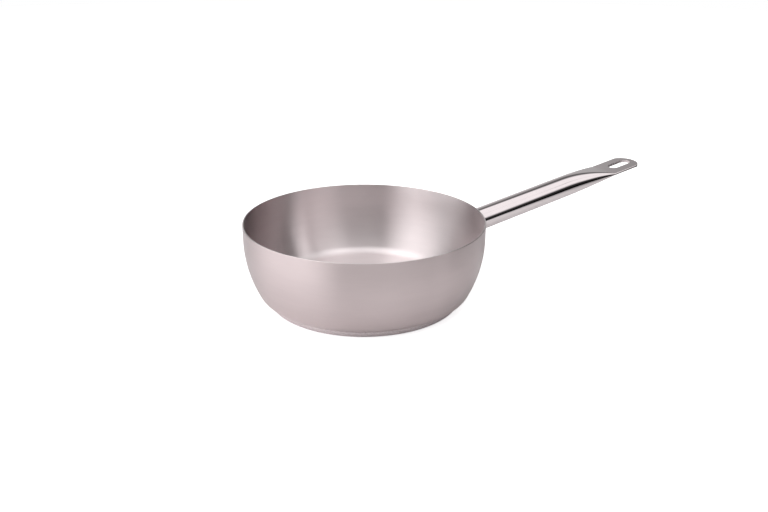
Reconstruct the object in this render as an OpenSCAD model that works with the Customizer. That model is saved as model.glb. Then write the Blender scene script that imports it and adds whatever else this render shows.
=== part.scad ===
/* [Pan body] */
// Outside radius of the pan at the rim
rim_r = 100; // [90:1:130]
// Height of the rim above the stove
pan_h = 68.5; // [62:0.5:90]
// Thickness of the pan's steel sheet
wall_t = 1.0; // [0.8:0.1:1.6]
// Height above the shell's floor where the straight wall turns into the curved side
side_start = 51; // [44:1:56]
// Radius of the curved side, seen in section
side_r = 98; // [95:1:120]
// Radius of the corner between the side and the floor
corner_r = 12; // [5:0.5:14]
/* [Sandwich base] */
// Thickness of the aluminium core
core_t = 3.9; // [2.5:0.1:6]
// Thickness of the steel cap round the core
cap_t = 0.6; // [0.4:0.1:1]
// Distance that the base reaches past the edge of the shell's flat floor
base_over = 2.1; // [0:0.1:3]
// Radius of the cap's lower edge
cap_edge_r = 1.4; // [1:0.1:2.4]
/* [Handle] */
// Outside diameter of the handle tube
tube_d = 20.8; // [16:0.1:22]
// Wall thickness of the handle tube
tube_t = 1.2; // [0.8:0.1:1.2]
// Depth of the handle's axis below the rim, where it meets the wall
handle_drop = 27.5; // [24:0.5:31]
// Rise of the handle above level, in degrees
handle_tilt = 6.8; // [2:0.2:14]
// Length of the handle from the wall to its tip
handle_len = 233.5; // [210:0.5:260]
// Length of the round, straight part of the tube
round_len = 130; // [100:1:140]
// Length of the pressed, flat tab at the tip
tab_len = 42; // [38:1:50]
// Thickness of the flat tab
tab_t = 2.4; // [2.4:0.1:4]
// Length of the tab's rounded end
tab_end = 12; // [6:0.5:14]
/* [Hanging slot] */
// Length of the hanging slot
slot_len = 27; // [18:1:28]
// Width of the hanging slot
slot_w = 11.5; // [8:0.5:14]
// Steel left between the slot and the tip
slot_edge = 5; // [4:0.1:10]
/* [Handle joint] */
// Radius of the round doubler plate under the handle
plate_r = 17; // [14:0.5:18]
// Thickness of the doubler plate
plate_t = 1.2; // [0.8:0.1:2]
// Radius of the weld bead round the tube
weld_r = 2; // [1.2:0.1:2.4]
/* [Hidden] */
$fn = 120;
// sides of the large rounds that smaller pieces are fitted against
fine = 360;
base_t = core_t + cap_t;
side_z = base_t + side_start;
side_c = rim_r - side_r;
// the corner arc touches the side arc from inside and the floor's plane
corner_c = side_c + sqrt(pow(side_r - corner_r, 2) - pow(side_start - corner_r, 2));
corner_z = base_t + corner_r;
join_a = atan2(side_z - corner_z, corner_c - side_c);
// a point well outside both arcs, on the line where one goes over into the other
part_x = corner_c + 2 * corner_r * cos(join_a);
part_z = corner_z - 2 * corner_r * sin(join_a);
// overlap of shapes that make up one section, and of cuts beyond what they cut
lap = 1;
base_r = corner_c + base_over;
handle_z = pan_h - handle_drop;
tube_r = tube_d / 2;
// the flat tab is as wide as the tube's skin, pressed flat
tab_w = tab_t + PI / 2 * (tube_d - tab_t);
// distance along the handle where the tube starts to flatten and where it is flat
flat_s = handle_len - tab_len;
slot_s = handle_len - slot_edge - slot_len / 2;
// the wall's normal where the handle meets it, below level
wall_a = asin(max(0, side_z - handle_z) / side_r);
wall_x = side_c + side_r * cos(wall_a);
// rings along the pressed skin, and sides round it and round the weld bead
skin_rings = 14;
skin_sides = 48;
// the pressed skin starts and ends this far inside the round tube and the flat tab
seam = 0.05;
skin_r = tube_r - seam;
skin_t = tab_t / 2 - seam;
// the round tube and the flat tab reach this far into the pressed skin
skin_lap = 0.3;
// the tube's bore closes this far before the flat tab
bore_gap = 8;
// the tube is drawn this far into the pan before it is trimmed to the plate
tube_foot = 14;
// turn between the points of the tab's rounded end
tab_step = 6;
// the middle of the weld bead lies this far outside the tube
weld_out = 0.3;

// Half thickness of the tube's section, from round at u = 0 to pressed flat at u = 1.
function half_t(u) = skin_r + (skin_t - skin_r) * u * u;
// Half width of the section, which keeps the length round the tube's skin.
function half_w(u) = half_t(u) + PI / 2 * (skin_r - half_t(u));
// Two half rounds joined by flats, drawn this far inside the skin.
function section(u, inset) = let (t = half_t(u) - inset, w = half_w(u) - inset)
    [for (k = [0 : skin_sides - 1]) let (a = 360 * (k + 0.5) / skin_sides)
    [round_len + u * (flat_s - round_len), sign(cos(a)) * (w - t) + t * cos(a), t * sin(a)]];

// The pan's section, from the axis outwards, drawn this far inside its outer face and over its rim.
module bowl_outline(inset, over) {
    translate([0, base_t + inset]) square([corner_c, corner_r]);
    intersection() {
        translate([corner_c, corner_z]) circle(corner_r - inset);
        polygon([[corner_c, corner_z + lap], [corner_c, 0], [part_x, 0], [part_x, part_z + lap]]);
    }
    intersection() {
        translate([side_c, side_z]) circle(side_r - inset);
        polygon([[0, base_t + inset + lap], [corner_c, base_t + inset + lap], [corner_c, corner_z],
            [part_x, part_z], [2 * rim_r, 0], [2 * rim_r, side_z], [0, side_z]]);
    }
    translate([0, side_z - lap]) square([rim_r - inset, pan_h + over - side_z + lap]);
}

module bowl_solid(inset, over = 0) {
    rotate_extrude($fn = fine) bowl_outline(inset, over, $fn = fine);
}

// Places its children on the handle's axis, with +X along the handle.
module on_handle() {
    translate([rim_r, 0, handle_z]) rotate([0, -handle_tilt, 0]) children();
}

module pan_body() color([0.72, 0.69, 0.68]) difference() {
    bowl_solid(0);
    bowl_solid(wall_t, lap);
}

module base_core() color([0.80, 0.80, 0.82]) translate([0, 0, cap_t])
    rotate_extrude() union() {
        square([base_r - cap_edge_r, core_t]);
        translate([0, cap_edge_r - cap_t]) square([base_r - cap_t, core_t + cap_t - cap_edge_r]);
        translate([base_r - cap_edge_r, cap_edge_r - cap_t]) circle(cap_edge_r - cap_t);
    }

module base_cap() color([0.70, 0.67, 0.66]) difference() {
    rotate_extrude() union() {
        square([base_r - cap_edge_r, base_t]);
        translate([0, cap_edge_r]) square([base_r, base_t - cap_edge_r]);
        translate([base_r - cap_edge_r, cap_edge_r]) circle(cap_edge_r);
    }
    base_core();
}

// The tube's skin from round to flat, with its bore tapering shut.
module tube_skin() {
    outer = [for (i = [0 : skin_rings]) each section(i / skin_rings, 0)];
    shut = 1 - bore_gap / (flat_s - round_len);
    inner = [for (i = [0 : skin_rings]) each section(shut * i / skin_rings, tube_t)];
    n = skin_sides;
    m = skin_rings;
    off = len(outer);
    faces_out = [for (i = [0 : m - 1], k = [0 : n - 1]) let (a = i * n + k, b = i * n + (k + 1) % n)
        each [[a, a + n, b + n], [a, b + n, b]]];
    faces_in = [for (f = faces_out) [off + f[0], off + f[2], off + f[1]]];
    mouth = [for (k = [0 : n - 1]) let (b = (k + 1) % n) each [[k, b, off + b], [k, off + b, off + k]]];
    tip = [[for (k = [0 : n - 1]) m * n + k]];
    bore_end = [[for (k = [0 : n - 1]) off + m * n + n - 1 - k]];
    polyhedron(concat(outer, inner), concat(faces_out, faces_in, mouth, tip, bore_end));
}

module tab_outline() {
    start_s = flat_s - skin_lap;
    end_s = handle_len - tab_end;
    difference() {
        polygon([[start_s, tab_w / 2], [start_s, -tab_w / 2],
            for (a = [-90 : tab_step : 90]) [end_s + tab_end * cos(a), tab_w / 2 * sin(a)]]);
        for (e = [-1, 1]) translate([slot_s + e * (slot_len - slot_w) / 2, 0]) circle(slot_w / 2);
        translate([slot_s, 0]) square([slot_len - slot_w, slot_w], center = true);
    }
}

module handle_tube() color([0.86, 0.85, 0.86]) difference() {
    on_handle() union() {
        rotate([0, 90, 0]) difference() {
            translate([0, 0, -tube_foot])
                cylinder(d = tube_d, h = round_len + tube_foot + skin_lap);
            cylinder(r = tube_r - tube_t, h = 2 * handle_len, center = true);
        }
        tube_skin();
        translate([0, 0, -tab_t / 2]) linear_extrude(tab_t) tab_outline();
    }
    bowl_solid(-plate_t);
}

module handle_plate() color([0.72, 0.69, 0.68]) difference() {
    intersection() {
        bowl_solid(-plate_t);
        translate([wall_x, 0, handle_z]) rotate([0, 90, 0])
            cylinder(r = plate_r, h = 4 * plate_r, center = true);
    }
    bowl_solid(0);
}

module handle_weld() color([0.66, 0.63, 0.62]) difference() {
    translate([wall_x + plate_t, 0, handle_z]) rotate([0, 90 + wall_a, 0])
        rotate_extrude() translate([tube_r + weld_out, 0]) circle(weld_r, $fn = skin_sides);
    on_handle() rotate([0, 90, 0]) cylinder(d = tube_d, h = 4 * tube_d, center = true);
    bowl_solid(-plate_t);
}

pan_body();
base_core();
base_cap();
handle_plate();
handle_tube();
handle_weld();
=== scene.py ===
"""A saucier pan: spun bowl, sandwich base and pressed tube handle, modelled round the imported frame."""

import functools
import math
from typing import NamedTuple

import bmesh
import bpy
from bpy.props import FloatProperty, FloatVectorProperty, IntProperty, PointerProperty
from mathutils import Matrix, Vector


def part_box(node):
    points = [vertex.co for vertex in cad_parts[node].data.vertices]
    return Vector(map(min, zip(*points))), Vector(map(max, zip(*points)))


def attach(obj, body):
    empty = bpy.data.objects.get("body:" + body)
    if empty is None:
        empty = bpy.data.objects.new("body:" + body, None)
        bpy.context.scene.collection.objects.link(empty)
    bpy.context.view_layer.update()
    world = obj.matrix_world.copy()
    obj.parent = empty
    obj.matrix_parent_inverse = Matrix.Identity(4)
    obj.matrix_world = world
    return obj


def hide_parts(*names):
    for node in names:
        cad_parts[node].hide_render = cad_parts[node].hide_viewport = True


bl_info = {
    "name": "Saucier Pan",
    "version": (1, 0, 0),
    "blender": (4, 5, 0),
    "location": "3D View > Sidebar > Pan",
    "description": "Models a spun saucier pan with a pressed tube handle",
    "category": "Add Mesh",
}

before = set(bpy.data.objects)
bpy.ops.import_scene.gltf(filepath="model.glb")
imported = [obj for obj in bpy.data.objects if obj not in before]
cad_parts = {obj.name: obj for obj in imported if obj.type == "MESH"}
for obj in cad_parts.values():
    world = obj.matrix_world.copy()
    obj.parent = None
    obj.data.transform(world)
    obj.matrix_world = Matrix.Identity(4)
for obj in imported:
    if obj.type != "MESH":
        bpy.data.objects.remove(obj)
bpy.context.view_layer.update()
BOWL_LOW, BOWL_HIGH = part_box("pan_body")
BASE_LOW, BASE_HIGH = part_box("base_cap")

# points closer together than this count as one
MERGE = 1e-6
QUARTER = math.pi / 2
SMOOTH_ANGLE = math.radians(32)
SHARP_ANGLE = math.radians(50)
FLAT_FACE_WEIGHT = 80

# steps of the arcs in the turned sections
SIDE_STEPS = 28
CORNER_STEPS = 14
RIM_STEPS = 4
CAP_EDGE_STEPS = 10
CAP_TOP_STEPS = 5
CAP_INNER_STEPS = 6

# rings along the handle's pressing, and along half of the bend where its tab starts
PRESS_STEPS = 36
BEND_STEPS = 4
# points round the cutter that gives the tab its rounded end
NOSE_POINTS = 128
PLATE_RINGS = 10

# points along the weld bead and round its section
WELD_POINTS_ALONG = 144
WELD_POINTS_ROUND = 20
# turn in degrees from one groove of the bead to the next, the share of it that a groove takes,
# and its depth as a share of the bead's radius
RIPPLE_TURN = 10
RIPPLE_SHARE = 0.4
RIPPLE_DEPTH = 1 / 24


# Sizes and finishes


def length(name, description, default):
    return FloatProperty(name=name, description=description, default=default, min=0,
                         unit="LENGTH", subtype="DISTANCE", precision=5)


def angle(name, description, degrees):
    return FloatProperty(name=name, description=description, default=math.radians(degrees),
                         subtype="ANGLE")


def share(name, description, default):
    return FloatProperty(name=name, description=description, default=default, min=0, max=1,
                         subtype="FACTOR")


def colour(name, description, default):
    return FloatVectorProperty(name=name, description=description, default=default, size=3,
                               min=0, max=1, subtype="COLOR")


class BowlSizes(bpy.types.PropertyGroup):
    """Sizes of the bowl's section that its box doesn't give."""

    wall: length("Wall", "Thickness of the bowl's steel sheet", 0.001)
    band: length("Band", "Height of the straight wall under the rim", 0.013)
    side_radius: length("Side radius", "Radius of the curved side in section", 0.098)
    corner_radius: length("Corner radius", "Radius between the side and the floor", 0.012)
    rim_round: length("Rim rounding", "Rounding of the rim's two edges", 0.00025)
    turn_steps: IntProperty(name="Turn steps", description="Faces round the pan", default=256,
                            min=24)


class BaseSizes(bpy.types.PropertyGroup):
    """Sizes of the sandwich base's steel cap."""

    sheet: length("Sheet", "Thickness of the cap's steel sheet", 0.0006)
    edge_radius: length("Edge radius", "Radius of the cap's lower edge", 0.0014)
    top_round: length("Top rounding", "Rounding of the cap's upper edge", 0.00055)


class HandleSizes(bpy.types.PropertyGroup):
    """Sizes of the tube handle, its joint and its hanging slot."""

    tube_diameter: length("Tube diameter", "Outside diameter of the round tube", 0.0208)
    axis_height: length("Axis height", "Height of the tube's axis at the bowl's wall", 0.0410)
    rise: angle("Rise", "Rise of the handle above level", 6.8)
    reach: length("Length", "Length from the bowl's wall to the tip", 0.2335)
    round_length: length("Round length", "Length of the round, straight part", 0.130)
    tab_length: length("Tab length", "Length of the flat tab", 0.042)
    tab_thickness: length("Tab thickness", "Thickness of the flat tab", 0.0024)
    tab_end: length("Tab end", "Length of the tab's rounded end", 0.012)
    crease: length("Crease", "Half length of the bend where the tab starts", 0.0016)
    slot_length: length("Slot length", "Length of the hanging slot", 0.027)
    slot_width: length("Slot width", "Width of the hanging slot", 0.0115)
    slot_edge: length("Slot edge", "Steel left between the slot and the tip", 0.005)
    cut_edge: length("Cut edge", "Rounding of the cut edges", 0.0003)
    plate_radius: length("Plate radius", "Radius of the doubler plate", 0.017)
    plate_thickness: length("Plate thickness", "Thickness of the doubler plate", 0.0012)
    weld_radius: length("Weld radius", "Radius of the weld bead", 0.002)
    weld_out: length("Weld offset", "Distance of the bead's middle from the tube", 0.0003)
    ring_points: IntProperty(name="Ring points", default=96, min=16,
                             description="Points round the tube, the plate and the slot's ends")


class MetalLook(bpy.types.PropertyGroup):
    """Colours and gloss of the metal parts."""

    brushed: colour("Brushed steel", "Colour of the brushed bowl", (0.755, 0.648, 0.653))
    # the inside is the same steel as the outside; its lighter colour is painted light
    inside: colour("Inside steel", "Colour of the bowl's inside", (0.82, 0.752, 0.757))
    brushed_roughness: share("Brushed roughness", "Roughness of the brushed bowl", 0.29)
    inside_roughness: share("Inside roughness", "Roughness of the bowl's inside", 0.33)
    turned: colour("Turned steel", "Colour of the base's cap", (0.82, 0.735, 0.75))
    polished: colour("Polished steel", "Colour of the polished handle", (0.88, 0.80, 0.81))
    polished_roughness: share("Polished roughness", "Roughness of the handle", 0.05)
    aluminium: colour("Aluminium", "Colour of the base's core", (0.78, 0.78, 0.80))
    weld: colour("Weld", "Colour of the weld bead", (0.62, 0.54, 0.54))


class StageSettings(bpy.types.PropertyGroup):
    """Camera, floor and surroundings."""

    handle_turn: angle("Handle turn", "Turn of the handle away from the picture's right", 33.6)
    camera_place: FloatVectorProperty(name="Camera place", description="Camera's place",
                                      default=(-0.3647, -0.5489, 0.2940), size=3,
                                      unit="LENGTH", subtype="TRANSLATION")
    camera_turn: FloatVectorProperty(name="Camera turn", description="Camera's XYZ rotation",
                                     default=(1.19703, -0.00401, -0.60952), size=3,
                                     subtype="EULER")
    camera_lens: FloatProperty(name="Lens", description="Focal length on a 36 mm sensor",
                               default=39.46, unit="CAMERA")
    floor_radius: length("Floor radius", "Radius of the round floor", 3.0)


# Selecting and finishing


def pick_none():
    """Leaves edit mode and deselects everything."""
    if bpy.context.mode != "OBJECT":
        bpy.ops.object.mode_set(mode="OBJECT")
    bpy.ops.object.select_all(action="DESELECT")


def pick(piece):
    """Makes the piece active and the only one selected."""
    pick_none()
    piece.select_set(True)
    bpy.context.view_layer.objects.active = piece


def pick_points(piece, test):
    """In edit mode, selects only the points whose place passes the test."""
    bpy.ops.mesh.select_all(action="DESELECT")
    shape = bmesh.from_edit_mesh(piece.data)
    for point in shape.verts:
        point.select = test(point.co)
    shape.select_flush(True)
    bmesh.update_edit_mesh(piece.data)


def close_up(piece):
    """In edit mode, merges doubled points and turns every face outwards."""
    bpy.ops.mesh.select_all(action="SELECT")
    bpy.ops.mesh.remove_doubles(threshold=MERGE)
    bpy.ops.mesh.select_all(action="SELECT")
    bpy.ops.mesh.normals_make_consistent(inside=False)
    bpy.ops.object.mode_set(mode="OBJECT")


def apply_all(piece):
    """Applies the piece's place and its modifiers in their order."""
    pick(piece)
    bpy.ops.object.transform_apply(location=True, rotation=True, scale=True)
    for name in [modifier.name for modifier in piece.modifiers]:
        bpy.ops.object.modifier_apply(modifier=name)


def hand_over(piece, name, node, material=None):
    """Smooths a finished piece, gives it its finish and lets it stand for its CAD node."""
    if not piece.data.polygons:
        raise RuntimeError(f"{name} has no faces")
    pick(piece)
    bpy.ops.object.shade_smooth_by_angle(angle=SMOOTH_ANGLE)
    weigh = piece.modifiers.new("Flat faces lead", "WEIGHTED_NORMAL")
    weigh.keep_sharp = True
    weigh.weight = FLAT_FACE_WEIGHT
    apply_all(piece)
    piece.name = name
    piece.data.name = name
    if material:
        piece.data.materials.append(material)
    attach(piece, "root")
    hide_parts(node)


# Turned pieces


def arc(centre, radius, start, end, steps):
    """Points on an arc of a section, each (distance from the axis, height)."""
    turns = [start + (end - start) * step / steps for step in range(steps + 1)]
    return [(centre[0] + radius * math.cos(turn), centre[1] + radius * math.sin(turn))
            for turn in turns]


def draw_section(points):
    """Draws a section as a chain of edges, extruded from one point to the next."""
    pick_none()
    bpy.ops.mesh.primitive_plane_add()
    piece = bpy.context.object
    bpy.ops.object.mode_set(mode="EDIT")
    bpy.ops.mesh.merge(type="CENTER")
    bpy.ops.transform.translate(value=(points[0][0], 0, points[0][1]))
    for here, there in zip(points, points[1:]):
        if math.dist(here, there) > MERGE:
            bpy.ops.mesh.extrude_region_move(TRANSFORM_OT_translate={
                "value": (there[0] - here[0], 0, there[1] - here[1])})
    return piece


def turn_section(piece, steps):
    """Spins the section once round the upright axis and closes its seam and poles."""
    bpy.ops.mesh.select_all(action="SELECT")
    bpy.ops.mesh.spin(steps=steps, angle=math.tau, center=(0, 0, 0), axis=(0, 0, 1))
    close_up(piece)
    return piece


class BowlShape:
    """The places that the bowl's section turns at."""

    def __init__(self, sizes):
        self.rim = BOWL_HIGH.x
        self.floor = BOWL_LOW.z
        self.top = BOWL_HIGH.z
        self.side_z = self.top - sizes.band
        self.side_x = self.rim - sizes.side_radius
        self.corner_z = self.floor + sizes.corner_radius
        reach = sizes.side_radius - sizes.corner_radius
        self.corner_x = self.side_x + math.sqrt(reach ** 2 - (self.side_z - self.corner_z) ** 2)
        self.join = math.atan2(self.side_z - self.corner_z, self.corner_x - self.side_x)

    def wall_at(self, height, radius):
        """Distance from the axis and lean of the curved side at a height."""
        lean = math.asin((self.side_z - height) / radius)
        return self.side_x + radius * math.cos(lean), lean


def bowl_section(sizes):
    """The bowl's section, from the axis out and up its outside, and back down its inside."""
    shape = BowlShape(sizes)
    edge = sizes.rim_round
    outside = [(0, shape.floor)]
    outside += arc((shape.corner_x, shape.corner_z), sizes.corner_radius, -QUARTER, -shape.join,
                   CORNER_STEPS)
    outside += arc((shape.side_x, shape.side_z), sizes.side_radius, -shape.join, 0, SIDE_STEPS)
    outside += arc((shape.rim - edge, shape.top - edge), edge, 0, QUARTER, RIM_STEPS)
    inner_rim = shape.rim - sizes.wall + edge
    inside = arc((inner_rim, shape.top - edge), edge, QUARTER, 2 * QUARTER, RIM_STEPS)
    inside += arc((shape.side_x, shape.side_z), sizes.side_radius - sizes.wall, 0, -shape.join,
                  SIDE_STEPS)
    inside += arc((shape.corner_x, shape.corner_z), sizes.corner_radius - sizes.wall,
                  -shape.join, -QUARTER, CORNER_STEPS)
    inside += [(0, shape.floor + sizes.wall)]
    return outside + inside


def finish_and_lighten_inside(piece, material):
    """Gives the faces that look up or towards the axis a finish of their own: a roughness of their own,
    and a lighter colour, which is painted light.
    """
    piece.data.materials.append(material)
    pick(piece)
    bpy.ops.object.mode_set(mode="EDIT")
    bpy.ops.mesh.select_mode(type="FACE")
    shape = bmesh.from_edit_mesh(piece.data)
    for face in shape.faces:
        out = face.calc_center_median().to_2d().normalized()
        face.select_set(face.normal.to_2d().dot(out) < face.normal.z)
    bmesh.update_edit_mesh(piece.data)
    piece.active_material_index = len(piece.data.materials) - 1
    bpy.ops.object.material_slot_assign()
    bpy.ops.mesh.select_mode(type="VERT")
    bpy.ops.object.mode_set(mode="OBJECT")


def cap_section(sizes):
    """The section of the base's cap, from the axis out, round its edge and back inside it."""
    rim, low, top = BASE_HIGH.x, BASE_LOW.z, BASE_HIGH.z
    centre = (rim - sizes.edge_radius, low + sizes.edge_radius)
    shoulder = (rim - sizes.top_round, top - sizes.top_round)
    outside = [(0, low)] + arc(centre, sizes.edge_radius, -QUARTER, 0, CAP_EDGE_STEPS)
    outside += arc(shoulder, sizes.top_round, 0, QUARTER, CAP_TOP_STEPS)
    inner = arc(centre, sizes.edge_radius - sizes.sheet, 0, -QUARTER, CAP_INNER_STEPS)
    return outside + [(rim - sizes.sheet, top)] + inner + [(0, low + sizes.sheet)]


# The handle


def pressed_section(sizes, s):
    """Half thickness and half width of the pressed tube at a distance s along it."""
    tube = sizes.tube_diameter / 2
    flat = sizes.tab_thickness / 2
    flat_s = sizes.reach - sizes.tab_length
    run = flat_s - sizes.round_length
    slope = 2 * (tube - flat) / run
    if s <= sizes.round_length:
        thick = tube
    elif s < flat_s - sizes.crease:
        thick = tube - (tube - flat) * ((s - sizes.round_length) / run) ** 2
    elif s < flat_s + sizes.crease:
        thick = flat + slope * (flat_s + sizes.crease - s) ** 2 / (4 * sizes.crease)
    else:
        thick = flat
    return thick, thick + QUARTER * (tube - thick)


def handle_stations(sizes):
    """Distances along the handle of its rings, close together where the tube is bent."""
    flat_s = sizes.reach - sizes.tab_length
    start, end = sizes.round_length, flat_s - sizes.crease
    pressing = [start + (end - start) * step / PRESS_STEPS for step in range(PRESS_STEPS + 1)]
    bend = [flat_s + sizes.crease * step / BEND_STEPS
            for step in range(1 - BEND_STEPS, BEND_STEPS + 1)]
    past_tip = sizes.reach + sizes.tab_length / 8
    return [start / 2] + pressing + bend + [past_tip]


def press_ring(piece, s, before, after):
    """Turns the newest ring from one section into the next, one rounded half at a time."""
    scale = after[0] / before[0]
    for side in (1, -1):
        pick_points(piece, lambda place: abs(place.z - s) < MERGE and place.y * side > 0)
        gap = side * (before[1] - before[0])
        bpy.ops.transform.resize(value=(scale, scale, 1), center_override=(0, gap, s))
        move = side * (after[1] - after[0]) - gap
        bpy.ops.transform.translate(value=(0, move, 0))
    pick_points(piece, lambda place: abs(place.z - s) < MERGE)


def draw_tube(sizes):
    """The tube along the upright axis, from inside the wall to past the tip."""
    foot = -sizes.tube_diameter / 2
    pick_none()
    bpy.ops.mesh.primitive_circle_add(vertices=sizes.ring_points, radius=sizes.tube_diameter / 2,
                                      fill_type="NGON", location=(0, 0, foot),
                                      rotation=(0, 0, math.pi / sizes.ring_points))
    piece = bpy.context.object
    piece.data.materials.append(finish("polished_steel"))
    bpy.ops.object.transform_apply(location=True, rotation=True, scale=True)
    bpy.ops.object.mode_set(mode="EDIT")
    bpy.ops.mesh.select_all(action="SELECT")
    last = foot
    before = pressed_section(sizes, last)
    for s in handle_stations(sizes):
        after = pressed_section(sizes, s)
        bpy.ops.mesh.extrude_region_move(TRANSFORM_OT_translate={"value": (0, 0, s - last)})
        if after != before:
            press_ring(piece, s, before, after)
        last, before = s, after
    close_up(piece)
    return piece


def slot_cutter(sizes):
    """A bar with rounded sides, as the punch that cuts the hanging slot."""
    radius = sizes.slot_width / 2
    middle = sizes.reach - sizes.slot_edge - sizes.slot_length / 2
    half = (sizes.slot_length - sizes.slot_width) / 2
    pick_none()
    bpy.ops.mesh.primitive_cylinder_add(vertices=sizes.ring_points, radius=radius,
                                        depth=sizes.tube_diameter, location=(0, 0, middle),
                                        rotation=(0, QUARTER, 0))
    cutter = bpy.context.object
    bpy.ops.object.transform_apply(location=True, rotation=True, scale=True)
    bpy.ops.object.mode_set(mode="EDIT")
    bpy.ops.mesh.select_all(action="SELECT")
    bpy.ops.mesh.bisect(plane_co=(0, 0, middle), plane_no=(0, 0, 1))
    for side in (1, -1):
        pick_points(cutter, lambda place: (place.z - middle) * side > MERGE)
        bpy.ops.transform.translate(value=(0, 0, side * half))
    bpy.ops.object.mode_set(mode="OBJECT")
    return cutter


def nose_cutter(sizes):
    """A long bar with an elliptical end: what lies outside it is cut off the tab."""
    wide = pressed_section(sizes, sizes.reach)[1]
    end_s = sizes.reach - sizes.tab_end
    pick_none()
    bpy.ops.mesh.primitive_cylinder_add(vertices=NOSE_POINTS, radius=wide,
                                        depth=2 * sizes.tube_diameter, rotation=(0, QUARTER, 0))
    cutter = bpy.context.object
    bpy.ops.object.transform_apply(location=True, rotation=True, scale=True)
    bpy.ops.object.mode_set(mode="EDIT")
    bpy.ops.mesh.select_all(action="SELECT")
    grown = 1 + 2 * MERGE / wide
    bpy.ops.transform.resize(value=(1, grown, sizes.tab_end / wide), center_override=(0, 0, 0))
    bpy.ops.transform.translate(value=(0, 0, end_s))
    pick_points(cutter, lambda place: place.z < end_s - MERGE)
    bpy.ops.transform.translate(value=(0, 0, -2 * sizes.reach))
    pick_points(cutter, lambda place: place.z < end_s + MERGE)
    bpy.ops.transform.resize(value=(1, 2, 1), center_override=(0, 0, 0))
    bpy.ops.object.mode_set(mode="OBJECT")
    return cutter


def cut(piece, cutter, operation, finish_name):
    """Cuts a piece with a cutter, which leaves the named finish on the new faces."""
    boolean = piece.modifiers.new("Cut", "BOOLEAN")
    boolean.object = cutter
    boolean.operation = operation
    boolean.solver = "EXACT"
    boolean.material_mode = "TRANSFER"
    cutter.data.materials.append(finish(finish_name))
    pick(piece)
    bpy.ops.object.modifier_apply(modifier=boolean.name)
    bpy.data.objects.remove(cutter)


def round_edges(piece, width, segments):
    """Rounds the piece's sharp edges."""
    rounding = piece.modifiers.new("Rounded edges", "BEVEL")
    rounding.width = width
    rounding.segments = segments
    rounding.limit_method = "ANGLE"
    rounding.angle_limit = SHARP_ANGLE
    apply_all(piece)


def put_on_pan(piece, sizes, shape):
    """Lays the upright handle on its place at the bowl's wall."""
    pick(piece)
    piece.rotation_euler = (0, QUARTER - sizes.rise, 0)
    piece.location = (shape.rim, 0, sizes.axis_height)
    bpy.ops.object.transform_apply(location=True, rotation=True, scale=True)


def trim_at_wall(piece, place, outward):
    """Cuts away what lies inside the wall and closes the cut."""
    pick(piece)
    bpy.ops.object.mode_set(mode="EDIT")
    bpy.ops.mesh.select_all(action="SELECT")
    bpy.ops.mesh.bisect(plane_co=place, plane_no=outward, use_fill=True, clear_inner=True)
    bpy.ops.object.mode_set(mode="OBJECT")


def joint_place(scene, depth):
    """A point on the plate's face where the handle meets it, and the way out of the wall."""
    bowl, handle = scene.pan_bowl, scene.pan_handle
    shape = BowlShape(bowl)
    wall_x, lean = shape.wall_at(handle.axis_height, bowl.side_radius)
    outward = Vector((math.cos(lean), 0, -math.sin(lean)))
    face = Vector((wall_x, 0, handle.axis_height)) + outward * (handle.plate_thickness - depth)
    return face, outward


# Finishes

# turn of the smear, in whole turns, so that it runs across lines that go round the pan
ACROSS_LINES = 0.25


def add(tree, kind, settings=None, sockets=None):
    """A node with its settings, and its sockets set or linked by name or number."""
    node = tree.nodes.new(kind)
    for key, value in (settings or {}).items():
        setattr(node, key, value)
    for key, value in (sockets or {}).items():
        socket = node.inputs[key]
        if isinstance(value, bpy.types.NodeSocket):
            tree.links.new(value, socket)
        else:
            socket.default_value = value
    return node


def calc(tree, operation, *values):
    """The result of a sum on numbers or sockets."""
    node = add(tree, "ShaderNodeMath", settings={"operation": operation},
               sockets=dict(enumerate(values)))
    return node.outputs[0]


def span(tree, value, low, high, to_low=0.0, to_high=1.0, smooth=False):
    """The value's place between two limits, from to_low to to_high."""
    node = add(tree, "ShaderNodeMapRange",
               settings={"interpolation_type": "SMOOTHSTEP" if smooth else "LINEAR"},
               sockets={"Value": value, "From Min": low, "From Max": high,
                        "To Min": to_low, "To Max": to_high})
    return node.outputs["Result"]


def blend_colour(tree, mask, first, second):
    """A colour between two, from a Mix node, whose colour sockets are 6, 7 and output 2."""
    node = add(tree, "ShaderNodeMix", settings={"data_type": "RGBA"},
               sockets={0: mask, 6: first, 7: second})
    return node.outputs[2]


def rgba(values, level=1.0):
    """An opaque colour, made lighter or darker by the level."""
    return (*[value * level for value in values], 1.0)


def grey(level):
    return rgba((level,) * 3)


def new_group(name, inputs, outputs):
    """A shader node group with plain number inputs and outputs."""
    group = bpy.data.node_groups.new(name, "ShaderNodeTree")
    for label, default in inputs.items():
        socket = group.interface.new_socket(label, in_out="INPUT", socket_type="NodeSocketFloat")
        socket.default_value = default
    for label in outputs:
        group.interface.new_socket(label, in_out="OUTPUT", socket_type="NodeSocketFloat")
    entry = group.nodes.new("NodeGroupInput")
    leave = group.nodes.new("NodeGroupOutput")
    return group, entry.outputs, leave.inputs


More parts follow.
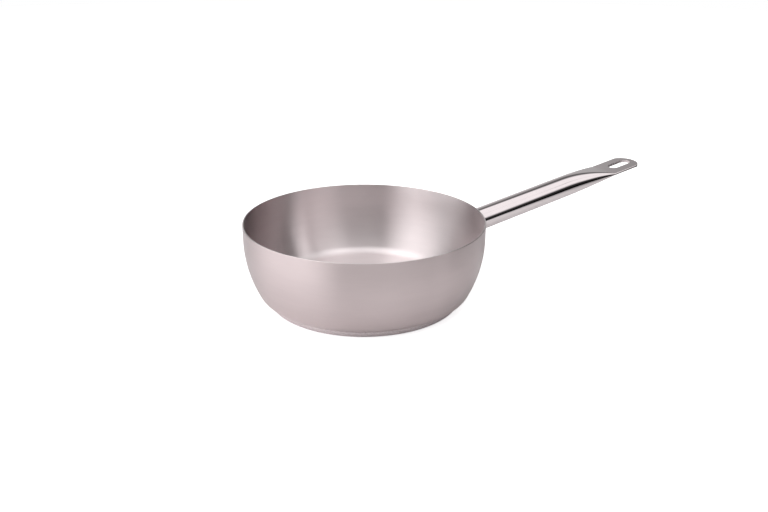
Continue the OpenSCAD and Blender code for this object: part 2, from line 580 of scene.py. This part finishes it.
def turned_lines():
    """Fine lines that run round the upright axis, as brushing on a lathe leaves them."""
    group, given, result = new_group("Turned lines", {"Lines": 2500.0, "Drift": 3.0},
                                     ("Fine", "Broad"))
    place = add(group, "ShaderNodeTexCoord").outputs["Object"]
    parts = add(group, "ShaderNodeSeparateXYZ", sockets={0: place}).outputs
    out = calc(group, "SQRT", calc(group, "ADD", calc(group, "MULTIPLY", parts[0], parts[0]),
                                   calc(group, "MULTIPLY", parts[1], parts[1])))
    safe = calc(group, "MAXIMUM", out, 0.0005)
    across = calc(group, "MULTIPLY", calc(group, "DIVIDE", parts[0], safe), given["Drift"])
    along = calc(group, "MULTIPLY", calc(group, "DIVIDE", parts[1], safe), given["Drift"])
    for label, factor in (("Fine", 1.0), ("Broad", 0.06)):
        lines = calc(group, "MULTIPLY", given["Lines"], factor)
        up = calc(group, "MULTIPLY", parts[2], lines)
        where = add(group, "ShaderNodeCombineXYZ", sockets={0: across, 1: along, 2: up})
        noise = add(group, "ShaderNodeTexNoise", settings={"noise_dimensions": "4D"},
                    sockets={"Vector": where.outputs[0], "W": calc(group, "MULTIPLY", out, lines),
                             "Scale": 1.0, "Detail": 2.0, "Roughness": 0.6})
        group.links.new(noise.outputs[0], result[label])
    return group


def wipe_marks():
    """Soft clouds and faint scratches, as wiping and handling leave them."""
    group, given, result = new_group("Wipe marks", {"Size": 60.0}, ("Cloud", "Scratch"))
    place = add(group, "ShaderNodeTexCoord").outputs["Object"]
    cloud = add(group, "ShaderNodeTexNoise",
                sockets={"Vector": place, "Scale": given["Size"], "Detail": 3.0,
                         "Roughness": 0.55})
    group.links.new(span(group, cloud.outputs[0], 0.35, 0.7, smooth=True), result["Cloud"])
    stretched = add(group, "ShaderNodeMapping", sockets={"Vector": place,
                                                         "Rotation": (0.3, 0.2, 0.9),
                                                         "Scale": (60.0, 1400.0, 900.0)})
    scratch = add(group, "ShaderNodeTexNoise",
                  sockets={"Vector": stretched.outputs[0], "Scale": 1.0, "Detail": 1.0})
    group.links.new(span(group, scratch.outputs[0], 0.62, 0.72), result["Scratch"])
    return group


class Metal:
    """The material of one metal, built up by paint, roughness and relief."""

    def __init__(self, name, groups, smear=0.0):
        self.material = bpy.data.materials.new(name)
        self.material.use_nodes = True
        self.tree = self.material.node_tree
        self.shader = self.tree.nodes["Principled BSDF"]
        self.groups = groups
        self.shader.inputs["Metallic"].default_value = 1.0
        if smear:
            self.shader.inputs["Anisotropic"].default_value = smear
            self.shader.inputs["Anisotropic Rotation"].default_value = ACROSS_LINES

    def place(self, key, **values):
        """The outputs of a shared effect, placed with values of its own."""
        node = add(self.tree, "ShaderNodeGroup", settings={"node_tree": self.groups[key]},
                   sockets=values)
        return node.outputs

    def paint(self, mask, first, second):
        """Base colour between two colours, by a mask."""
        tone = blend_colour(self.tree, mask, first, second)
        self.tree.links.new(tone, self.shader.inputs["Base Color"])

    def roughen(self, base, *parts):
        """Roughness as a base with shares of masks added."""
        total = base
        for mask, amount in parts:
            total = calc(self.tree, "MULTIPLY_ADD", mask, amount, total)
        self.tree.links.new(total, self.shader.inputs["Roughness"])

    def emboss(self, height, distance, strength):
        """Relief from a height, at most as high as the distance."""
        bump = add(self.tree, "ShaderNodeBump", sockets={"Height": height, "Distance": distance,
                                                         "Strength": strength})
        self.tree.links.new(bump.outputs[0], self.shader.inputs["Normal"])


class Finishes:
    """The finishes of the pan, each made from the look's colours and gloss."""

    def __init__(self, look):
        self.look = look
        self.groups = {"lines": turned_lines(), "marks": wipe_marks()}

    def brushed_steel(self):
        return self.brush("Brushed steel", self.look.brushed, self.look.brushed_roughness)

    # the same brushed steel as the outside, in a lighter colour that is painted light
    def inside_steel_painted_lighter(self):
        return self.brush("Brushed steel, inside, painted lighter", self.look.inside,
                          self.look.inside_roughness)

    def brush(self, name, tint, roughness):
        """Steel brushed round the pan, which smears what it reflects up and down."""
        metal = Metal(name, self.groups, smear=1.0)
        lines = metal.place("lines", Lines=2600.0, Drift=2.5)
        marks = metal.place("marks", Size=45.0)
        fine = calc(metal.tree, "MULTIPLY", lines["Fine"], 0.3)
        tone = calc(metal.tree, "MULTIPLY_ADD", lines["Broad"], 0.7, fine)
        metal.paint(tone, rgba(tint, 0.95), rgba(tint, 1.05))
        metal.roughen(roughness - 0.02, (lines["Fine"], 0.02), (marks["Cloud"], 0.02))
        metal.emboss(lines["Fine"], 0.00002, 0.03)
        return metal.material

    def turned_steel(self):
        metal = Metal("Turned base steel", self.groups, smear=0.6)
        lines = metal.place("lines", Lines=1500.0, Drift=1.5)
        marks = metal.place("marks", Size=90.0)
        metal.paint(lines["Broad"], rgba(self.look.turned, 0.94), rgba(self.look.turned, 1.06))
        metal.roughen(0.24, (lines["Fine"], 0.06), (marks["Scratch"], 0.06))
        metal.emboss(lines["Fine"], 0.00003, 0.15)
        return metal.material

    def polished_steel(self):
        metal = Metal("Polished steel", self.groups)
        marks = metal.place("marks", Size=70.0)
        metal.paint(marks["Cloud"], rgba(self.look.polished), rgba(self.look.polished, 0.97))
        metal.roughen(self.look.polished_roughness, (marks["Cloud"], 0.02),
                      (marks["Scratch"], 0.03))
        metal.emboss(marks["Cloud"], 0.00001, 0.4)
        return metal.material

    def cut_steel(self):
        metal = Metal("Punched edge steel", self.groups)
        marks = metal.place("marks", Size=300.0)
        metal.paint(marks["Cloud"], rgba(self.look.polished), rgba(self.look.polished, 0.9))
        metal.roughen(0.42, (marks["Cloud"], 0.1))
        metal.emboss(marks["Cloud"], 0.00003, 0.5)
        return metal.material

    def weld_steel(self):
        metal = Metal("Cleaned weld", self.groups)
        marks = metal.place("marks", Size=400.0)
        metal.paint(marks["Cloud"], rgba(self.look.weld), rgba(self.look.weld, 0.7))
        metal.roughen(0.28, (marks["Cloud"], 0.15))
        metal.emboss(marks["Cloud"], 0.0001, 0.5)
        return metal.material

    def rolled_aluminium(self):
        metal = Metal("Rolled aluminium", self.groups)
        marks = metal.place("marks", Size=200.0)
        metal.paint(marks["Cloud"], rgba(self.look.aluminium), rgba(self.look.aluminium, 0.85))
        metal.roughen(0.35, (marks["Cloud"], 0.1), (marks["Scratch"], 0.1))
        metal.emboss(marks["Scratch"], 0.00005, 0.5)
        return metal.material


@functools.cache
def all_finishes():
    """The finishes and their shared effects, made once."""
    return Finishes(bpy.context.scene.pan_finish)


@functools.cache
def finish(name):
    """The named finish, made the first time that it is asked for."""
    return getattr(all_finishes(), name)()


# Stage

WHITE = (1.0, 1.0, 1.0, 1.0)
BLACK = (0.0, 0.0, 0.0, 1.0)


class LightPanel(NamedTuple):
    """A soft panel of light or shade round the pan, with its places and softness in degrees.

    The bearing is to the right of the camera's side, half_width lies on either hand of it, and
    low and high are the panel's edges above level.
    """

    name: str
    level: float
    low: float
    high: float = 90
    edge_soft: float = 4
    bearing: float = 0
    half_width: float = 180
    side_soft: float = 0


# each panel is painted over the ones before it
STUDIO = (
    LightPanel("overhead", level=2.35, low=52.5),
    LightPanel("overhead, middle", level=1.0, low=76, high=96, edge_soft=5),
    LightPanel("overhead, back", level=1.02, low=41, edge_soft=3.5,
               bearing=143, half_width=60.5, side_soft=5.5),
    LightPanel("gap over the backdrop", level=0.11, low=28, high=54, edge_soft=3,
               bearing=175, half_width=35.5, side_soft=13.5),
    LightPanel("backdrop", level=0.79, low=-30, high=28.5, edge_soft=30,
               bearing=186, half_width=20.5, side_soft=12),
    LightPanel("right softbox", level=1.02, low=16.5, high=52, edge_soft=8,
               bearing=76.5, half_width=8.5, side_soft=3),
    LightPanel("right window", level=0.6, low=25, high=49.5, edge_soft=6,
               bearing=41.5, half_width=19.5, side_soft=3),
    LightPanel("left softbox", level=2.45, low=-10, high=38, edge_soft=13.5,
               bearing=-76, half_width=32.5, side_soft=25),
)
# light where there is no panel
ROOM_LEVEL = 0.025

NEAREST_SEEN = 0.01
FLOOR_POINTS = 96
TABLE_TONE = 0.8
# light added to the table where the camera sees it
TABLE_LIFT = 0.75
# the table's reflection fades out between these distances to the right of the pan's axis
TABLE_EDGE = (0.24, 0.50)
# a glow painted on the table round the base, which only reflections show and which lights up the base's
# cap and the bowl's lower edge in them: its level at the left and at the right, the distances from the
# axis between which it ends, and the places, from left to right, between which the one level goes over
# into the other
BASE_GLOW = (0.20, 0.04)
BASE_GLOW_EDGE = (0.084, 0.098)
BASE_GLOW_SIDE = (-0.06, 0.01)


def across_picture(tree, place, settings):
    """A place or direction as seen from the camera's side, split into right, back and up."""
    turned = add(tree, "ShaderNodeMapping",
                 sockets={"Vector": place, "Rotation": (0, 0, settings.handle_turn)})
    return add(tree, "ShaderNodeSeparateXYZ", sockets={0: turned.outputs[0]}).outputs


def pale_table(settings):
    """A matt, pale table, lit up for the camera, with a reflection that fades at the right, and with a
    glow painted round the base that only reflections show.
    """
    material = bpy.data.materials.new("Pale table")
    material.use_nodes = True
    tree = material.node_tree
    tree.nodes.clear()
    path = add(tree, "ShaderNodeLightPath").outputs
    matt = add(tree, "ShaderNodeBsdfDiffuse", sockets={"Color": grey(TABLE_TONE)})
    spot = add(tree, "ShaderNodeTexCoord").outputs["Object"]
    out = add(tree, "ShaderNodeVectorMath", settings={"operation": "LENGTH"},
              sockets={0: spot}).outputs["Value"]
    right = across_picture(tree, spot, settings)[0]
    # painted light: a glow round the base that only glossy rays see, a painted reflection on the cap and
    # the bowl's lower edge
    near = span(tree, out, *BASE_GLOW_EDGE, 1.0, 0.0, smooth=True)
    painted_base_glow = calc(tree, "MULTIPLY", near,
                 span(tree, right, *BASE_GLOW_SIDE, *BASE_GLOW, smooth=True))
    lift = calc(tree, "ADD", calc(tree, "MULTIPLY", path["Is Camera Ray"], TABLE_LIFT),
                calc(tree, "MULTIPLY", path["Is Glossy Ray"], painted_base_glow))
    glow = add(tree, "ShaderNodeEmission", sockets={"Color": WHITE, "Strength": lift})
    pale = add(tree, "ShaderNodeAddShader", sockets={0: matt.outputs[0], 1: glow.outputs[0]})
    beyond = span(tree, right, *TABLE_EDGE, smooth=True)
    dark = add(tree, "ShaderNodeEmission", sockets={"Color": BLACK, "Strength": 0.0})
    surface = add(tree, "ShaderNodeMixShader",
                  sockets={0: calc(tree, "MULTIPLY", path["Is Glossy Ray"], beyond),
                           1: pale.outputs[0], 2: dark.outputs[0]})
    leave = add(tree, "ShaderNodeOutputMaterial")
    tree.links.new(surface.outputs[0], leave.inputs["Surface"])
    return material


def paint_panel(tree, tone, level, height, panel):
    """Paints one panel over the tone that lies behind it."""
    turn = math.radians(panel.bearing)
    facing = add(tree, "ShaderNodeVectorMath", settings={"operation": "DOT_PRODUCT"},
                 sockets={0: level, 1: (math.sin(turn), -math.cos(turn), 0)})
    facing.label = panel.name
    wide = 1.0
    if panel.half_width < 180:
        wide = span(tree, facing.outputs["Value"],
                    math.cos(math.radians(panel.half_width + panel.side_soft)),
                    math.cos(math.radians(panel.half_width - panel.side_soft)), smooth=True)
    over = span(tree, height, math.radians(panel.low - panel.edge_soft),
                math.radians(panel.low + panel.edge_soft), smooth=True)
    under = span(tree, height, math.radians(panel.high - panel.edge_soft),
                 math.radians(panel.high + panel.edge_soft), 1.0, 0.0, smooth=True)
    mask = calc(tree, "MULTIPLY", calc(tree, "MULTIPLY", over, under), wide)
    return blend_colour(tree, mask, tone, grey(panel.level))


# Operators


class PAN_OT_body(bpy.types.Operator):
    """Spin the bowl from its section"""

    bl_idname = "pan.body"
    bl_label = "Spin Bowl"

    def execute(self, context):
        sizes = context.scene.pan_bowl
        piece = turn_section(draw_section(bowl_section(sizes)), sizes.turn_steps)
        piece.data.materials.append(finish("brushed_steel"))
        finish_and_lighten_inside(piece, finish("inside_steel_painted_lighter"))
        hand_over(piece, "bowl", "pan_body")
        return {"FINISHED"}


class PAN_OT_base(bpy.types.Operator):
    """Spin the base's steel cap and give its core a finish"""

    bl_idname = "pan.base"
    bl_label = "Make Base"

    def execute(self, context):
        section = cap_section(context.scene.pan_base)
        piece = turn_section(draw_section(section), context.scene.pan_bowl.turn_steps)
        hand_over(piece, "cap_turned", "base_cap", finish("turned_steel"))
        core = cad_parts["base_core"]
        core.data.materials.clear()
        core.data.materials.append(finish("rolled_aluminium"))
        return {"FINISHED"}


class PAN_OT_handle(bpy.types.Operator):
    """Press the tube handle, punch its slot and trim it to the wall"""

    bl_idname = "pan.handle"
    bl_label = "Press Handle"

    def execute(self, context):
        sizes = context.scene.pan_handle
        piece = draw_tube(sizes)
        cut(piece, nose_cutter(sizes), "INTERSECT", "polished_steel")
        cut(piece, slot_cutter(sizes), "DIFFERENCE", "cut_steel")
        put_on_pan(piece, sizes, BowlShape(context.scene.pan_bowl))
        place, outward = joint_place(context.scene, sizes.plate_thickness / 2)
        trim_at_wall(piece, place, outward)
        round_edges(piece, sizes.cut_edge, segments=2)
        hand_over(piece, "handle_pressed", "handle_tube")
        return {"FINISHED"}


class PAN_OT_joint(bpy.types.Operator):
    """Form the doubler plate to the wall and lay the weld bead round the tube"""

    bl_idname = "pan.joint"
    bl_label = "Join Handle"

    def execute(self, context):
        self.form_plate(context.scene.pan_handle)
        self.lay_weld(context.scene)
        return {"FINISHED"}

    def form_plate(self, sizes):
        """A disc with close rings, wrapped on the bowl and thickened outwards."""
        pick_none()
        bpy.ops.mesh.primitive_circle_add(vertices=sizes.ring_points, radius=sizes.plate_radius,
                                          fill_type="NGON", rotation=(0, QUARTER, 0),
                                          location=(2 * BOWL_HIGH.x, 0, sizes.axis_height))
        piece = bpy.context.object
        bpy.ops.object.transform_apply(location=True, rotation=True, scale=True)
        bpy.ops.object.mode_set(mode="EDIT")
        bpy.ops.mesh.select_all(action="SELECT")
        for _ in range(PLATE_RINGS - 1):
            bpy.ops.mesh.inset(thickness=sizes.plate_radius / PLATE_RINGS)
        bpy.ops.object.mode_set(mode="OBJECT")
        wrap = piece.modifiers.new("Form to the bowl", "SHRINKWRAP")
        wrap.target = bpy.data.objects["bowl"]
        wrap.wrap_method = "PROJECT"
        wrap.use_project_x = True
        wrap.use_negative_direction = True
        wrap.use_positive_direction = False
        thicken = piece.modifiers.new("Sheet", "SOLIDIFY")
        thicken.thickness = sizes.plate_thickness
        thicken.offset = 1
        apply_all(piece)
        round_edges(piece, sizes.plate_thickness / 4, segments=3)
        hand_over(piece, "doubler_plate", "handle_plate",
                  finish("brushed_steel"))

    def lay_weld(self, scene):
        """A ring with shallow grooves, laid round the tube's foot and trimmed at the plate."""
        sizes = scene.pan_handle
        place, outward = joint_place(scene, 0)
        pick_none()
        bpy.ops.mesh.primitive_torus_add(major_radius=sizes.tube_diameter / 2 + sizes.weld_out,
                                         minor_radius=sizes.weld_radius,
                                         major_segments=WELD_POINTS_ALONG,
                                         minor_segments=WELD_POINTS_ROUND)
        piece = bpy.context.object
        bpy.ops.object.mode_set(mode="EDIT")
        pick_points(piece, lambda spot: math.degrees(math.atan2(spot.y, spot.x)) % RIPPLE_TURN
                    < RIPPLE_SHARE * RIPPLE_TURN)
        bpy.ops.transform.shrink_fatten(value=-sizes.weld_radius * RIPPLE_DEPTH)
        bpy.ops.object.mode_set(mode="OBJECT")
        piece.location = place
        piece.rotation_euler = outward.to_track_quat("Z", "Y").to_euler()
        bpy.ops.object.transform_apply(location=True, rotation=True, scale=True)
        low, _ = joint_place(scene, sizes.plate_thickness / 2)
        trim_at_wall(piece, low, outward)
        hand_over(piece, "weld_bead", "handle_weld", finish("weld_steel"))


class PAN_OT_stage(bpy.types.Operator):
    """Set up the floor, the surroundings and the camera"""

    bl_idname = "pan.stage"
    bl_label = "Set Up Stage"

    def execute(self, context):
        settings = context.scene.pan_stage
        self.lay_floor(settings)
        self.light_world(context.scene, settings)
        self.place_camera(context.scene, settings)
        context.scene.view_settings.view_transform = "Standard"
        return {"FINISHED"}

    def lay_floor(self, settings):
        pick_none()
        bpy.ops.mesh.primitive_circle_add(vertices=FLOOR_POINTS, radius=settings.floor_radius,
                                          fill_type="NGON")
        floor = bpy.context.object
        floor.name = "Floor"
        floor.data.materials.append(pale_table(settings))

    def light_world(self, scene, settings):
        """A studio drawn as soft panels by the way they lie from the pan."""
        world = bpy.data.worlds.new("Studio")
        scene.world = world
        world.use_nodes = True
        tree = world.node_tree
        tree.nodes.clear()
        way = add(tree, "ShaderNodeTexCoord").outputs["Generated"]
        right, back, up = across_picture(tree, way, settings)
        height = calc(tree, "ARCSINE", up)
        level = add(tree, "ShaderNodeCombineXYZ", sockets={0: right, 1: back, 2: 0.0})
        level = add(tree, "ShaderNodeVectorMath", settings={"operation": "NORMALIZE"},
                    sockets={0: level.outputs[0]}).outputs[0]
        tone = grey(ROOM_LEVEL)
        for panel in STUDIO:
            tone = paint_panel(tree, tone, level, height, panel)
        path = add(tree, "ShaderNodeLightPath").outputs
        seen = blend_colour(tree, path["Is Camera Ray"], tone, WHITE)
        light = add(tree, "ShaderNodeBackground", sockets={"Color": seen, "Strength": 1.0})
        leave = add(tree, "ShaderNodeOutputWorld")
        tree.links.new(light.outputs[0], leave.inputs["Surface"])

    def place_camera(self, scene, settings):
        data = bpy.data.cameras.new("Photo view")
        data.lens = settings.camera_lens
        data.clip_start = NEAREST_SEEN
        camera = bpy.data.objects.new("Photo view", data)
        camera.location = settings.camera_place
        camera.rotation_euler = settings.camera_turn
        scene.collection.objects.link(camera)
        scene.camera = camera


class PAN_PT_panel(bpy.types.Panel):
    """The pan's sizes, finishes and steps"""

    bl_idname = "PAN_PT_panel"
    bl_label = "Saucier Pan"
    bl_space_type = "VIEW_3D"
    bl_region_type = "UI"
    bl_category = "Pan"

    def draw(self, context):
        scene = context.scene
        for settings in (scene.pan_bowl, scene.pan_base, scene.pan_handle, scene.pan_finish,
                         scene.pan_stage):
            box = self.layout.box()
            for key in settings.__annotations__:
                box.prop(settings, key)
        for step in STEPS:
            self.layout.operator(step.bl_idname)


STEPS = (PAN_OT_body, PAN_OT_base, PAN_OT_handle, PAN_OT_joint, PAN_OT_stage)
SETTINGS = {"pan_bowl": BowlSizes, "pan_base": BaseSizes, "pan_handle": HandleSizes,
            "pan_finish": MetalLook, "pan_stage": StageSettings}


def register():
    for group in SETTINGS.values():
        bpy.utils.register_class(group)
    for name, group in SETTINGS.items():
        setattr(bpy.types.Scene, name, PointerProperty(type=group))
    for item in (*STEPS, PAN_PT_panel):
        bpy.utils.register_class(item)


def unregister():
    for item in (PAN_PT_panel, *reversed(STEPS)):
        bpy.utils.unregister_class(item)
    for name in SETTINGS:
        delattr(bpy.types.Scene, name)
    for group in SETTINGS.values():
        bpy.utils.unregister_class(group)


def main():
    register()
    bpy.ops.pan.body()
    bpy.ops.pan.base()
    bpy.ops.pan.handle()
    bpy.ops.pan.joint()
    bpy.ops.pan.stage()


if __name__ == "__main__":
    main()
